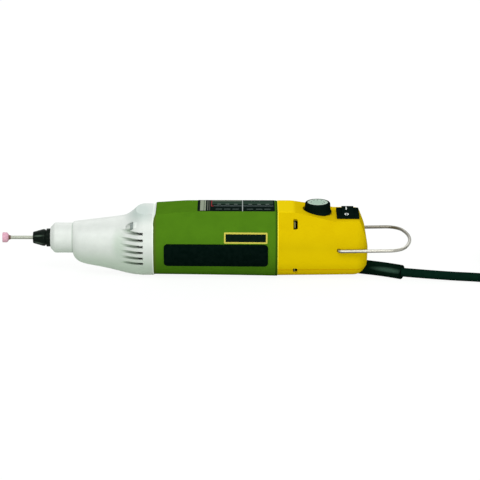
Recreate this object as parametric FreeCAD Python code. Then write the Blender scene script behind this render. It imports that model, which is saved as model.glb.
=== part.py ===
import FreeCAD, Part
import math
import os

# Mains-powered rotary tool resting on its flat underside: a die-cast head with the spindle and
# collet, a moulded motor housing with grip pads, and a moulded rear cap with speed dial, rocker
# switch, wire bail and cord. Millimetres. +X runs along the spindle axis towards the cord, +Z is up,
# and the origin is on that axis at the middle of the clamping collar.

V = FreeCAD.Vector

# Clamping collar and spindle line
COLLAR_R = 10.0
COLLAR_HALF = 5.7
COLLAR_FACE_X = -9.2
COLLAR_FACE_R = 7.0
SPINDLE_R = 4.0
SHANK_R = 1.175
RUNNING_GAP = 0.05

# Housing: one drafted round body whose axis lies a little under the spindle axis
BODY_Z = -0.5
FOOT_Z = -23.6
HEAD_REAR_X = 59.6
HEAD_RIM_R = 24.1
CAP_X = 141.3
REAR_X = 200.7
GREEN_FRONT_R = 23.5
JOINT_R = 24.4
REAR_R = 23.6
REAR_ROUNDING = 9.0
WALL = 1.9
MOTOR_BORE_R = 21.0
LABEL_TOP_Z = 22.5
LABEL_TOP_HALF = 12.8
RIM_TOP_Z = 20.2
RAMP_END_X = 83.0
SWITCH_TOP_Z = 16.9
SLOPE_START_X = 150.5
SLOPE_END_X = 179.3
REAR_LEAN_TOP_X = 195.4
REAR_LEAN_FOOT_Z = 3.0

# Vents in the head's flare
VENT_COUNT = 6
VENT_PITCH = 4.13
VENT_HEIGHT = 1.75
VENT_MIDDLE_Z = -0.85
VENT_START_X = 33.0
VENT_END_X = 52.9
VENT_OPEN_X = 48.6
VENT_OPEN_Y = 13.0
# The floor of the vents is the neck's own cone carried on under the flare
VENT_FLOOR_STATIONS = [(29.0, 13.2, 22.3, 17.7), (54.0, 18.0, 23.2, 19.9)]

# Controls on the cap
DIAL_X = 167.9
DIAL_R = 8.4
DIAL_TOP_Z = 25.3
DIAL_FOOT_Z = 18.35
DIAL_SKIRT_R = 9.5
DIAL_FLUTES = 24
INLAY_R = 6.7
DIAL_RECESS_R = 9.9
DIAL_RECESS_Z = 18.0
SWITCH_X = 187.9
BEZEL_LENGTH = 14.9
BEZEL_WIDTH = 21.0
BEZEL_HEIGHT = 1.5
SWITCH_BODY = (13.0, 19.0)
ROCKER_LENGTH = 7.9
ROCKER_HALF = 7.8
ROCKER_PIVOT_Z = 15.4
ROCKER_PIN_R = 0.9

# Wire bail
WIRE_R = 1.1
BAIL_HALF = 25.9
BAIL_X = 181.4
BAIL_Z = -0.6
BAIL_STRAIGHT_X = 214.5
BAIL_END_X = 229.3
BAIL_CORNER_R = 12.0
BAIL_REST_LIFT = 1.0
BAIL_BEND_R = 2.0

# Cord, its relief and the coil
CORD_R = 2.95
RELIEF_R = 4.75
RELIEF_BORE_R = 3.0
RELIEF_ROOT = V(190.0, 0, -18.85)
RELIEF_NECK_R = 4.1
RELIEF_NECK = 6.2
RELIEF_ANGLE = 18.0
RELIEF_STRAIGHT = 12.0
RELIEF_CURVED = 24.3
RELIEF_END_ANGLE = 30.0
CLAMP_X = (179.0, 184.0)
CLAMP_SPLIT_Z = RELIEF_ROOT.z
CLAMP_SCREWS_Y = (-5.6, 7.4)
TIE_THICKNESS = 0.7
CORD_Z = FOOT_Z + CORD_R
COIL_Z = CORD_Z + TIE_THICKNESS + 0.1
COIL_CENTRE = V(322.5, 16.9, COIL_Z)
COIL_PITCH = 6.5
COIL_OUTER = 42.0
COIL_TURNS_IN = 5
PLUG_SHIFT = 17.0
PLUG_Y = 15.0
PLUG_RISE = 29.35
PLUG_LENGTH = 35.0
PLUG_HALF_THICK = 6.8
PIN_R = 2.0
PIN_SPACING = 18.6

# Free route of the cord after the relief's mouth, up to the start of the coil
CORD_ROUTE = [
    (234.5, -16.1, -18.95),
    (246.0, -16.6, -19.65),
    (258.5, -17.3, -20.3),
    (272.0, -18.2, -20.6),
    (285.0, -21.6, -20.5),
    (297.0, -25.1, COIL_Z),
    (308.5, -25.1, COIL_Z),
]

# Head casting: its neck and flare, the joint with the motor housing, the fan room and the screws
# X, then half heights above and below the axis and half width of the casting at that place
HEAD_STATIONS = [
    (5.9, 10.6, 10.9, 11.0),
    (7.2, 10.9, 13.6, 12.6),
    (9.4, 11.2, 15.6, 13.8),
    (13.5, 11.7, 17.3, 14.8),
    (21.0, 12.6, 18.8, 15.8),
    (29.0, 13.6, 20.5, 16.8),
    (36.5, 14.5, 22.3, 18.2),
    (41.5, 15.7, 23.5, 20.2),
    (45.5, 18.3, 24.1, 22.2),
    (49.0, 21.5, 24.4, 23.6),
    (52.5, 23.5, 24.6, 24.1),
]
SECTION_POINTS = 24
HEAD_JOINT_BEND_Z = 13.5
HEAD_JOINT_REACH = 2.0
FAN_ROOM_R = 22.2
FAN_ROOM_TOP_Z = 18.2
HEAD_SCREW_R = 19.6
HEAD_SCREW_ANGLES = (41.0, 139.0, -90.0)
HEAD_SCREW_SEAT_X = 46.4
HEAD_SCREW_POCKET_R = 3.0

# Motor housing: grip pads, plates, bores, and the spigot with its latch tongues
SHOULDER_ROUNDING = 1.2
PAD_X = (66.5, 135.1)
PAD_Z = (-12.9, 3.25)
PAD_PROUD = 0.4
PAD_SEAT = 1.0
PAD_GAP = 0.15
PLATE_X = (106.1, 134.6)
PLATE_Z = (3.9, 10.8)
LABEL_X = (88.5, 139.5)
MOTOR_STOP_X = 72.8
FRONT_BORE_R = 19.0
FRONT_BORE_TOP_Z = 16.6
SPIGOT_R = 22.3
SPIGOT_TOP_Z = 18.4
WINDOW_X = (151.6, 154.5)
WINDOW_WIDTH = 7.3
WINDOW_ANGLES = (41.5, 138.5, -44.0, -136.0)
TONGUE_HALF = 2.2
TONGUE_REACH = 1.5

# Rear cap's set-back underside, and the board in the cap
SKIRT_TOP_Z = -15.3
SKIRT_SET_BACK = 0.4
GROOVE_WIDTH = 0.9
GROOVE_DEPTH = 0.85
BOARD_TOP_Z = -2.4
BOARD_X = (146.5, 178.0)

# Collet, nut and mounted stone
NUT_FRONT_X = -20.9
NUT_BACK_X = -9.5
NUT_FLUTES = 6
THREAD_R = 3.9
COLLET_R = 2.55
COLLET_X = (-20.5, -6.5)
STONE_R = 3.35
STONE_REAR_X = -37.2
SHANK_FRONT_X = -35.7

# Bearings and motor
FRONT_BEARING_R = 8.0
REAR_BEARING_R = 11.0
FRONT_BEARING_X = (-6.0, -1.0)
REAR_BEARING_X = (24.0, 31.0)
MOTOR_BEARING_X = (130.0, 136.0)
SHAFT_R = 2.5
FAN_R = 15.2
FAN_BLADES = 9
CORE_X = (84.0, 108.0)
CORE_SLOTS = 8
BRUSH_X = (118.6, 124.4)


def outline(corners, place):
    """Closed wire through corners (u, v, rounding radius). place(u, v) gives the point in space."""
    starts, mids, ends = [], [], []
    for i, (u, v, radius) in enumerate(corners):
        corner = V(u, v, 0)
        back = V(*corners[i - 1][:2], 0) - corner
        ahead = V(*corners[(i + 1) % len(corners)][:2], 0) - corner
        back.normalize()
        ahead.normalize()
        half = back.getAngle(ahead) / 2
        inward = back + ahead
        if radius:
            inward.normalize()
        starts.append(corner + back * (radius / math.tan(half)))
        ends.append(corner + ahead * (radius / math.tan(half)))
        mids.append(corner + inward * (radius / math.sin(half) - radius))
    edges = []
    for i, (u, v, radius) in enumerate(corners):
        before, start = place(ends[i - 1].x, ends[i - 1].y), place(starts[i].x, starts[i].y)
        if before.distanceToPoint(start) > 1e-6:
            edges.append(Part.makeLine(before, start))
        if radius:
            middle, end = place(mids[i].x, mids[i].y), place(ends[i].x, ends[i].y)
            edges.append(Part.Arc(start, middle, end).toShape())
    return Part.Wire(edges)


def side_plate(corners, y0, y1):
    """Outline in X and Z, drawn out along Y."""
    wire = outline(corners, lambda u, v: V(u, y0, v))
    return Part.Face(wire).extrude(V(0, y1 - y0, 0))


def level_plate(corners, z0, z1):
    """Outline in X and Y, drawn out along Z."""
    wire = outline(corners, lambda u, v: V(u, v, z0))
    return Part.Face(wire).extrude(V(0, 0, z1 - z0))


def cross_plate(corners, x0, x1):
    """Outline in Y and Z, drawn out along X."""
    wire = outline(corners, lambda u, v: V(x0, u, v))
    return Part.Face(wire).extrude(V(x1 - x0, 0, 0))


def turned(corners, axis_z=0.0):
    """Outline in X and radius, turned about a line along X."""
    face = Part.Face(outline(corners, lambda u, v: V(u, 0, axis_z + v)))
    return face.revolve(V(0, 0, axis_z), V(1, 0, 0), 360)


def turned_upright(corners, x):
    """Outline in radius and Z, turned about an upright line."""
    face = Part.Face(outline(corners, lambda u, v: V(x + u, 0, v)))
    return face.revolve(V(x, 0, 0), V(0, 0, 1), 360)


def rod(x0, x1, radius, y=0.0, z=0.0):
    return Part.makeCylinder(radius, x1 - x0, V(x0, y, z), V(1, 0, 0))


def tube(x0, x1, inner, outer, z=0.0):
    return rod(x0, x1, outer, z=z).cut(rod(x0 - 1, x1 + 1, inner, z=z))


def box(x0, x1, y0, y1, z0, z1):
    return Part.makeBox(x1 - x0, y1 - y0, z1 - z0, V(x0, y0, z0))


def sharp(points):
    """Corners with no rounding."""
    return [(u, v, 0) for u, v in points]


def join(shapes):
    whole = shapes[0]
    for shape in shapes[1:]:
        whole = whole.fuse(shape)
    return whole


def mirrored(shape):
    """The same shape on the other side of the XZ plane."""
    return shape.mirror(V(0, 0, 0), V(0, 1, 0))


# Head


def head_section(x, above, below, half_width):
    points = []
    for i in range(SECTION_POINTS):
        a = 2 * math.pi * i / SECTION_POINTS
        height = above if math.sin(a) > 0 else below
        points.append(V(x, half_width * math.cos(a), height * math.sin(a)))
    curve = Part.BSplineCurve()
    curve.interpolate(points, PeriodicFlag=True)
    return Part.Wire(curve.toShape())


def around_body(radius, degrees):
    """Y and Z of a place at that radius and angle round the body's axis."""
    a = math.radians(degrees)
    return radius * math.cos(a), BODY_Z + radius * math.sin(a)


def joint_cutter(behind):
    """Everything in front of, or behind, the joint line of head and motor housing. Near the top the
    line leans back in an arc."""
    far, tall = 40.0, 60.0
    middle = HEAD_REAR_X + HEAD_JOINT_REACH * 0.27
    top = HEAD_REAR_X + HEAD_JOINT_REACH
    bend, half_way = HEAD_JOINT_BEND_Z, HEAD_JOINT_BEND_Z + 5.3
    side = far if behind else -far
    reach = HEAD_REAR_X + side
    edges = [
        Part.makeLine(V(HEAD_REAR_X, -tall, -tall), V(HEAD_REAR_X, -tall, bend)),
        Part.Arc(
            V(HEAD_REAR_X, -tall, bend), V(middle, -tall, half_way), V(top, -tall, RIM_TOP_Z + 1)
        ).toShape(),
        Part.makeLine(V(top, -tall, RIM_TOP_Z + 1), V(top, -tall, tall)),
        Part.makeLine(V(top, -tall, tall), V(reach, -tall, tall)),
        Part.makeLine(V(reach, -tall, tall), V(reach, -tall, -tall)),
        Part.makeLine(V(reach, -tall, -tall), V(HEAD_REAR_X, -tall, -tall)),
    ]
    return Part.Face(Part.Wire(edges)).extrude(V(0, 2 * tall, 0))


def screw_pocket(y, z):
    """Room for a screw head and its driver: a round-ended pocket in the flare for the upper screws, a
    channel under the chin for the lowest."""
    if z < -10:
        return rod(14, HEAD_SCREW_SEAT_X, HEAD_SCREW_POCKET_R, y, z)
    start = HEAD_SCREW_SEAT_X - 2.8
    end = Part.makeSphere(HEAD_SCREW_POCKET_R, V(start, y, z))
    return rod(start, HEAD_SCREW_SEAT_X, HEAD_SCREW_POCKET_R, y, z).fuse(end)


def head_casting():
    """Collar, neck and flared fan housing in one casting."""
    collar = turned(
        [
            (COLLAR_FACE_X, 0, 0),
            (COLLAR_FACE_X, COLLAR_FACE_R, 1.0),
            (-COLLAR_HALF - 0.7, COLLAR_R, 1.6),
            (COLLAR_HALF + 0.2, COLLAR_R, 0),
            (COLLAR_HALF + 2, COLLAR_R, 0),
            (COLLAR_HALF + 2, 0, 0),
        ]
    )
    neck = Part.makeLoft([head_section(*s) for s in HEAD_STATIONS], True, False)
    rim = rod(HEAD_STATIONS[-1][0] - 0.2, HEAD_REAR_X + 5, HEAD_RIM_R, z=BODY_Z)
    casting = join([collar, neck, rim])
    casting = casting.cut(box(40, 70, -40, 40, RIM_TOP_Z, 60))
    casting = casting.cut(box(40, 70, -40, 40, -60, FOOT_Z))
    casting = casting.cut(joint_cutter(True))
    spindle_room = turned(
        sharp(
            [
                (COLLAR_FACE_X - 1, 0),
                (COLLAR_FACE_X - 1, SPINDLE_R + 0.4),
                (-6.0, SPINDLE_R + 0.4),
                (-6.0, FRONT_BEARING_R),
                (24.0, FRONT_BEARING_R),
                (24.0, REAR_BEARING_R),
                (34.0, REAR_BEARING_R),
                (41.0, 12.2),
                (49.4, 19.0),
                (50.6, FAN_ROOM_R),
                (70.0, FAN_ROOM_R),
                (70.0, 0),
            ]
        )
    )
    casting = casting.cut(spindle_room.cut(box(40, 80, -40, 40, FAN_ROOM_TOP_Z, 60)))
    for y, z in (around_body(HEAD_SCREW_R, a) for a in HEAD_SCREW_ANGLES):
        casting = casting.cut(screw_pocket(y, z))
        boss = rod(HEAD_SCREW_SEAT_X, HEAD_REAR_X - 5.2, 3.6, y, z)
        casting = casting.fuse(boss.common(rod(40, 70, FAN_ROOM_R + 0.2)))
        casting = casting.cut(rod(30, 75, 1.85, y, z))
    floor = Part.makeLoft([head_section(*s) for s in VENT_FLOOR_STATIONS], True, True)
    for i in range(VENT_COUNT):
        z = VENT_MIDDLE_Z + (i - (VENT_COUNT - 1) / 2) * VENT_PITCH
        low, high = z - VENT_HEIGHT / 2, z + VENT_HEIGHT / 2
        slot = box(VENT_START_X, VENT_END_X, VENT_OPEN_Y, 30, low, high).cut(floor)
        slot = slot.fuse(box(VENT_OPEN_X, VENT_END_X, VENT_OPEN_Y, 30, low, high))
        casting = casting.cut(slot).cut(mirrored(slot))
    return casting


# Motor housing


def body_section(x, radius):
    """A round section with shoulders tangent to it up to a flat top, and a flat a little under the foot
    plane."""
    low = FOOT_Z - 0.3
    corner_y, corner_z = LABEL_TOP_HALF, LABEL_TOP_Z - BODY_Z
    reach = math.hypot(corner_y, corner_z)
    tangent = math.atan2(corner_z, corner_y) - math.acos(radius / reach)
    foot_half = math.sqrt(radius**2 - (low - BODY_Z) ** 2)
    foot = math.asin((low - BODY_Z) / radius)

    def at(angle, side):
        return V(x, side * radius * math.cos(angle), BODY_Z + radius * math.sin(angle))

    def top(side):
        return V(x, side * corner_y, LABEL_TOP_Z)

    half_way = (tangent + foot) / 2
    edges = [
        Part.makeLine(top(-1), top(1)),
        Part.makeLine(top(1), at(tangent, 1)),
        Part.Arc(at(tangent, 1), at(half_way, 1), at(foot, 1)).toShape(),
        Part.makeLine(V(x, foot_half, low), V(x, -foot_half, low)),
        Part.Arc(at(foot, -1), at(half_way, -1), at(tangent, -1)).toShape(),
        Part.makeLine(at(tangent, -1), top(-1)),
    ]
    return Part.Wire(edges)


def drafted(x0, x1, grow):
    """The round housing between two places, grown by that much all round."""
    slope = (JOINT_R - GREEN_FRONT_R) / (CAP_X - HEAD_REAR_X)
    r0 = GREEN_FRONT_R + slope * (x0 - HEAD_REAR_X) + grow
    r1 = GREEN_FRONT_R + slope * (x1 - HEAD_REAR_X) + grow
    return turned(sharp([(x0, 0), (x0, r0), (x1, r1), (x1, 0)]), BODY_Z)


def side_patch(xs, zs, rounding, low, high):
    """A patch of the near side between two depths under or over the housing's surface."""
    corners = [(x, z, rounding) for x, z in ((xs[0], zs[0]), (xs[1], zs[0]), (xs[1], zs[1]), (xs[0], zs[1]))]
    patch = side_plate(corners, -40, -10)
    skin = drafted(xs[0] - 1, xs[1] + 1, high).cut(drafted(xs[0] - 2, xs[1] + 2, low))
    return patch.common(skin)


def radial_block(degrees, x0, x1, half, rounding, inner, outer):
    """A block on the housing's radius at that angle, its two rear corners rounded."""
    corners = [(x0, -half, 0), (x0, half, 0), (x1, half, rounding), (x1, -half, rounding)]
    block = level_plate(corners, inner, outer)
    block.rotate(V(0, 0, 0), V(1, 0, 0), degrees - 90)
    block.translate(V(0, 0, BODY_Z))
    return block


def window(degrees):
    return radial_block(degrees, *WINDOW_X, WINDOW_WIDTH / 2, 1.4, 15, 30)


def latch_slot(degrees):
    """Opening in the rear spigot under a window of the cap."""
    x0, x1 = WINDOW_X
    return radial_block(degrees, x0 + 0.2, x1 - 0.3, WINDOW_WIDTH / 2 - 0.3, 1.1, 15, SPIGOT_R + 1)


def latch_tongue(degrees):
    """Tongue that reaches into the slot from its front edge, with a barb that catches in the window."""
    x0, x1 = WINDOW_X[0], WINDOW_X[0] + TONGUE_REACH
    tongue = radial_block(degrees, x0 - 0.3, x1, TONGUE_HALF, 0.3, SPIGOT_R - 1.2, SPIGOT_R)
    barb = radial_block(degrees, x0 + 0.3, x1, TONGUE_HALF, 0.3, SPIGOT_R - 1.0, SPIGOT_R + 0.9)
    return tongue.fuse(barb)


def top_shape(drop):
    """Profile over the top and rear of the housing, in X and Z, lowered and drawn in by drop."""
    return [
        (HEAD_REAR_X - 10, RIM_TOP_Z - drop - 0.6, 0),
        (RAMP_END_X, LABEL_TOP_Z - drop, 30),
        (SLOPE_START_X, LABEL_TOP_Z - drop, 25),
        (SLOPE_END_X, SWITCH_TOP_Z - drop, 12),
        (REAR_LEAN_TOP_X - drop, SWITCH_TOP_Z - drop, max(2.0 - drop, 0.5)),
        (REAR_X - drop, REAR_LEAN_FOOT_Z, 30),
        (REAR_X - drop, -40, 0),
        (HEAD_REAR_X - 10, -40, 0),
    ]


def motor_housing():
    """Moulded tube with a label flat on top, grip seats on both sides and a spigot at each end."""
    shell = Part.makeLoft(
        [body_section(HEAD_REAR_X, GREEN_FRONT_R), body_section(CAP_X, JOINT_R)], True, True
    )
    ridges = [
        e
        for e in shell.Edges
        if all(abs(v.Z - LABEL_TOP_Z) < 0.01 and abs(abs(v.Y) - LABEL_TOP_HALF) < 0.01 for v in e.Vertexes)
        and e.Length > 20
    ]
    shell = shell.makeFillet(SHOULDER_ROUNDING, ridges)
    shell = shell.common(side_plate(top_shape(0), -40, 40))
    shell = shell.cut(box(HEAD_REAR_X - 5, CAP_X + 5, -40, 40, -60, FOOT_Z))
    shell = shell.cut(joint_cutter(False))
    front_spigot = rod(HEAD_REAR_X - 4.6, HEAD_REAR_X + 6, FAN_ROOM_R - 0.1)
    front_spigot = front_spigot.cut(box(40, 80, -40, 40, FAN_ROOM_TOP_Z - 0.1, 60))
    rear_spigot = rod(CAP_X - 4, CAP_X + 14.5, SPIGOT_R, z=BODY_Z)
    rear_spigot = rear_spigot.cut(box(120, 180, -40, 40, SPIGOT_TOP_Z, 60))
    shell = join([shell, front_spigot, rear_spigot])
    front_bore = rod(HEAD_REAR_X - 10, MOTOR_STOP_X + 1, FRONT_BORE_R)
    shell = shell.cut(front_bore.cut(box(40, 80, -40, 40, FRONT_BORE_TOP_Z, 60)))
    shell = shell.cut(rod(MOTOR_STOP_X, CAP_X + 20, MOTOR_BORE_R))
    for y, z in (around_body(HEAD_SCREW_R, a) for a in HEAD_SCREW_ANGLES):
        boss = rod(HEAD_REAR_X - 4.6, MOTOR_STOP_X, 3.3, y, z)
        shell = shell.fuse(boss.common(rod(40, 90, FRONT_BORE_R + 0.5)))
        shell = shell.cut(rod(30, HEAD_REAR_X + 10.5, 1.6, y, z))
    for degrees in WINDOW_ANGLES:
        shell = shell.cut(latch_slot(degrees)).fuse(latch_tongue(degrees))
    seat = side_patch(PAD_X, PAD_Z, 2.6, -PAD_SEAT, 3)
    shell = shell.cut(seat).cut(mirrored(seat))
    return shell.cut(side_patch(PLATE_X, PLATE_Z, 0.6, -0.15, 3))


def grip_pad():
    xs = (PAD_X[0] + PAD_GAP, PAD_X[1] - PAD_GAP)
    zs = (PAD_Z[0] + PAD_GAP, PAD_Z[1] - PAD_GAP)
    return side_patch(xs, zs, 2.6 - PAD_GAP, -PAD_SEAT, PAD_PROUD)


# Rear cap


def cap_form(drop):
    """The rear cap as a solid, shrunk by drop all round: outer form at 0, inner form at the wall."""
    draft = (JOINT_R - REAR_R) / (REAR_X - CAP_X)
    start = CAP_X - (1 if drop else 0)
    front_r = JOINT_R - drop
    rear_r = REAR_R - drop
    form = turned(
        [
            (start, 0, 0),
            (start, front_r, 0),
            (REAR_X - drop, rear_r + draft, REAR_ROUNDING - drop),
            (REAR_X - drop, 0, 0),
        ],
        BODY_Z,
    )
    if not drop:
        ridge = Part.makeLoft([body_section(CAP_X, JOINT_R), body_section(176.0, REAR_R + 0.35)], True, True)
        form = form.fuse(ridge)
    form = form.common(side_plate(top_shape(drop), -40, 40))
    if not drop:
        form = form.cut(box(CAP_X - 5, REAR_X + 5, -40, 40, -60, FOOT_Z))
        form = form.cut(skirt_cutter(SKIRT_SET_BACK, SKIRT_TOP_Z))
        form = form.cut(skirt_cutter(GROOVE_DEPTH, SKIRT_TOP_Z).common(groove_band()))
    return form


def skirt_cutter(depth, top_z):
    """What is cut from the cap under a level line, to set its underside back by that depth."""
    draft = (JOINT_R - REAR_R) / (REAR_X - CAP_X)
    round_form = turned(
        [
            (CAP_X - 6, 0, 0),
            (CAP_X - 6, JOINT_R + 6 * draft - depth, 0),
            (REAR_X - depth, REAR_R - depth, REAR_ROUNDING - depth),
            (REAR_X - depth, 0, 0),
        ],
        BODY_Z,
    )
    return box(CAP_X - 5, REAR_X + 5, -40, 40, -60, top_z).cut(round_form)


def groove_band():
    return box(CAP_X - 5, REAR_X + 5, -40, 40, SKIRT_TOP_Z - GROOVE_WIDTH, SKIRT_TOP_Z)


def relief_path(start=0.0):
    """The line along the relief from that distance after its root: straight through the wall, then a
    gentle bend on the table."""
    a0, a1 = math.radians(RELIEF_ANGLE), math.radians(RELIEF_END_ANGLE)
    ahead = V(math.cos(a0), -math.sin(a0), 0)
    bend = RELIEF_ROOT + ahead * RELIEF_STRAIGHT
    radius = RELIEF_CURVED / (a1 - a0)
    centre = bend + V(-math.sin(a0), -math.cos(a0), 0) * radius

    def on_arc(a):
        return centre + V(math.sin(a), math.cos(a), 0) * radius

    return Part.Wire(
        [
            Part.makeLine(RELIEF_ROOT + ahead * start, bend),
            Part.Arc(bend, on_arc((a0 + a1) / 2), on_arc(a1)).toShape(),
        ]
    )


def relief_mouth():
    bend = relief_path().Edges[-1]
    return bend.valueAt(bend.LastParameter)


def pipe(path, radius):
    """A round solid of that radius along a path."""
    start = path.OrderedVertexes[0].Point if path.OrderedVertexes else path.Vertexes[0].Point
    edge = path.OrderedEdges[0]
    if edge.valueAt(edge.FirstParameter).distanceToPoint(start) < 1e-6:
        direction = edge.tangentAt(edge.FirstParameter)
    else:
        direction = edge.tangentAt(edge.LastParameter) * -1
    ring = Part.Wire(Part.makeCircle(radius, start, direction))
    return path.makePipeShell([ring], True, False)


def rear_cap():
    """Moulded end cap with its dial hole, switch cut-out, bail holes and cord hole."""
    outer = cap_form(0)
    cap = outer.cut(cap_form(WALL))
    dial_seat = Part.makeCylinder(DIAL_RECESS_R + 1.5, 12, V(DIAL_X, 0, DIAL_RECESS_Z - WALL))
    cap = cap.fuse(dial_seat.common(outer))
    cap = cap.cut(Part.makeCylinder(DIAL_RECESS_R, 20, V(DIAL_X, 0, DIAL_RECESS_Z)))
    cap = cap.cut(Part.makeCylinder(3.6, 20, V(DIAL_X, 0, 10)))
    half_x, half_y = SWITCH_BODY[0] / 2 + 0.1, SWITCH_BODY[1] / 2 + 0.1
    cap = cap.cut(box(SWITCH_X - half_x, SWITCH_X + half_x, -half_y, half_y, 5, 30))
    cap = cap.cut(Part.makeCylinder(WIRE_R + 0.25, 80, V(BAIL_X, -40, BAIL_Z), V(0, 1, 0)))
    saddle = box(CLAMP_X[0], CLAMP_X[1], -9.0, 9.0, -23.0, CLAMP_SPLIT_Z - 0.4)
    cap = cap.fuse(saddle.common(cap_form(0.5)))
    cap = cap.cut(pipe(relief_path(RELIEF_NECK - 0.1), RELIEF_R + 0.05))
    cap = cap.cut(pipe(relief_path(-20), RELIEF_NECK_R + 0.05))
    for y in CLAMP_SCREWS_Y:
        cap = cap.cut(Part.makeCylinder(1.25, 6, V(sum(CLAMP_X) / 2, y, -21.4)))
    for degrees in WINDOW_ANGLES:
        cap = cap.cut(window(degrees))
    return cap


# Collet, nut and spindle


def collet_nut():
    """Nose nut: fluted cone, groove and flange, bored for the collet and the spindle's thread."""
    nut = turned(
        [
            (NUT_FRONT_X, 0, 0),
            (NUT_FRONT_X, 3.75, 0.5),
            (-14.2, 5.65, 1.2),
            (-12.9, 5.6, 0.3),
            (-12.5, 5.0, 0),
            (-12.0, 5.0, 0),
            (-11.9, 6.05, 0.3),
            (NUT_BACK_X, 6.05, 0.3),
            (NUT_BACK_X, 0, 0),
        ]
    )
    for i in range(NUT_FLUTES):
        flute = Part.makeCylinder(1.5, 9.5, V(NUT_FRONT_X - 2.0, 0, 5.75), V(1, 0, 0.24))
        flute.rotate(V(0, 0, 0), V(1, 0, 0), 30 + 360 * i / NUT_FLUTES)
        nut = nut.cut(flute)
        notch = Part.makeCylinder(0.9, 6, V(-11.1, 0, 6.6), V(1, 0, 0))
        for step in (0, 30):
            tooth = notch.copy()
            tooth.rotate(V(0, 0, 0), V(1, 0, 0), 15 + step + 360 * i / NUT_FLUTES)
            nut = nut.cut(tooth)
    bore = turned(
        sharp(
            [
                (NUT_FRONT_X - 1, 0),
                (NUT_FRONT_X - 1, 1.75),
                (NUT_FRONT_X + 0.35, 1.75),
                (-19.0, COLLET_R + 0.04),
                (-17.6, COLLET_R + 0.04),
                (-17.6, THREAD_R + RUNNING_GAP),
                (NUT_BACK_X + 1, THREAD_R + RUNNING_GAP),
                (NUT_BACK_X + 1, THREAD_R + RUNNING_GAP + 0.3),
                (0, THREAD_R + RUNNING_GAP + 0.3),
                (0, 0),
            ]
        )
    )
    return nut.cut(bore)


def collet():
    """Split collet: nose cone in the nut, body and rear cone in the spindle."""
    body = turned(
        sharp(
            [
                (COLLET_X[0], SHANK_R + 0.03),
                (COLLET_X[0], 1.7),
                (-19.0, COLLET_R),
                (-9.0, COLLET_R),
                (COLLET_X[1], 1.9),
                (COLLET_X[1], SHANK_R + 0.03),
            ]
        )
    )
    for i in range(3):
        slit = box(COLLET_X[0] - 1, -10.5, -0.2, 0.2, 0, 5)
        slit.rotate(V(0, 0, 0), V(1, 0, 0), 120 * i)
        body = body.cut(slit)
    return body


def spindle():
    """Hollow nose with the collet seat, then the bearing journals back to the coupling."""
    form = turned(
        sharp(
            [
                (-16.8, 0),
                (-16.8, THREAD_R - 0.4),
                (-16.4, THREAD_R),
                (NUT_BACK_X + 0.6, THREAD_R),
                (NUT_BACK_X + 0.6, SPINDLE_R),
                (31.6, SPINDLE_R),
                (31.6, 3.5),
                (45.0, 3.5),
                (45.0, 0),
            ]
        )
    )
    seat = turned(
        sharp(
            [
                (-18, 0),
                (-18, COLLET_R + 0.04),
                (-9.02, COLLET_R + 0.04),
                (-6.45, 1.95),
                (0, 1.95),
                (0, 0),
            ]
        )
    )
    return form.cut(seat)


def mounted_stone():
    """Grinding stone: a short cylinder that runs down to the shank in a cone."""
    return turned(
        [
            (-41.2, 0, 0),
            (-41.2, STONE_R, 0.25),
            (-38.3, STONE_R, 0.4),
            (STONE_REAR_X, 2.2, 0),
            (STONE_REAR_X, 0, 0),
        ]
    )


def stone_cement():
    corners = [(STONE_REAR_X, 0), (STONE_REAR_X, 1.75), (SHANK_FRONT_X, SHANK_R + 0.02), (SHANK_FRONT_X, 0)]
    return turned(sharp(corners))


def stone_shank():
    return rod(SHANK_FRONT_X, -1.0, SHANK_R)


# Bearings, coupling, fan and motor


def bearing_outer(xs, seat_r, journal_r):
    """Outer ring with both shields, short of the inner ring."""
    groove = journal_r + (seat_r - journal_r) * 0.62
    ring = tube(xs[0], xs[1], groove, seat_r - 0.02)
    shield = journal_r + (seat_r - journal_r) * 0.4
    plates = [tube(x, x + 0.4, shield, groove + 0.1) for x in (xs[0] + 0.3, xs[1] - 0.7)]
    return join([ring] + plates)


def bearing_inner(xs, seat_r, journal_r):
    return tube(xs[0], xs[1], journal_r, journal_r + (seat_r - journal_r) * 0.3)


def bearing_balls(xs, seat_r, journal_r):
    """Balls between the rings, kept apart from both."""
    inner = journal_r + (seat_r - journal_r) * 0.3
    outer = journal_r + (seat_r - journal_r) * 0.62
    radius = (outer - inner) / 2 - 0.03
    middle = (inner + outer) / 2
    balls = []
    for i in range(7):
        a = 2 * math.pi * i / 7
        centre = V((xs[0] + xs[1]) / 2, middle * math.cos(a), middle * math.sin(a))
        balls.append(Part.makeSphere(radius, centre))
    return Part.makeCompound(balls)


def coupling():
    sleeve = tube(37.0, 48.0, 3.5, 7.0)
    web = tube(45.1, 48.0, SHAFT_R, 3.6)
    sleeve = join([sleeve, web])
    for x in (39.5, 45.9):
        sleeve = sleeve.cut(Part.makeCylinder(1.25, 10, V(x, 0, 3.0)))
    return sleeve


def fan():
    """Radial fan: hub, back plate and straight blades."""
    parts = [tube(50.0, 58.5, SHAFT_R, 5.0), tube(57.3, 58.5, SHAFT_R, FAN_R)]
    for i in range(FAN_BLADES):
        blade = box(51.5, 57.8, -0.6, 0.6, 4.6, FAN_R)
        blade.rotate(V(0, 0, 0), V(1, 0, 0), 360 * i / FAN_BLADES)
        parts.append(blade)
    return join(parts)


def armature_core():
    core = tube(CORE_X[0], CORE_X[1], SHAFT_R, 13.6)
    for i in range(CORE_SLOTS):
        slot = box(CORE_X[0] - 1, CORE_X[1] + 1, -1.5, 1.5, 8.0, 12.0)
        mouth = box(CORE_X[0] - 1, CORE_X[1] + 1, -0.7, 0.7, 11.0, 15.0)
        for cutter in (slot, mouth):
            cutter.rotate(V(0, 0, 0), V(1, 0, 0), 360 * i / CORE_SLOTS)
            core = core.cut(cutter)
    return core


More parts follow.
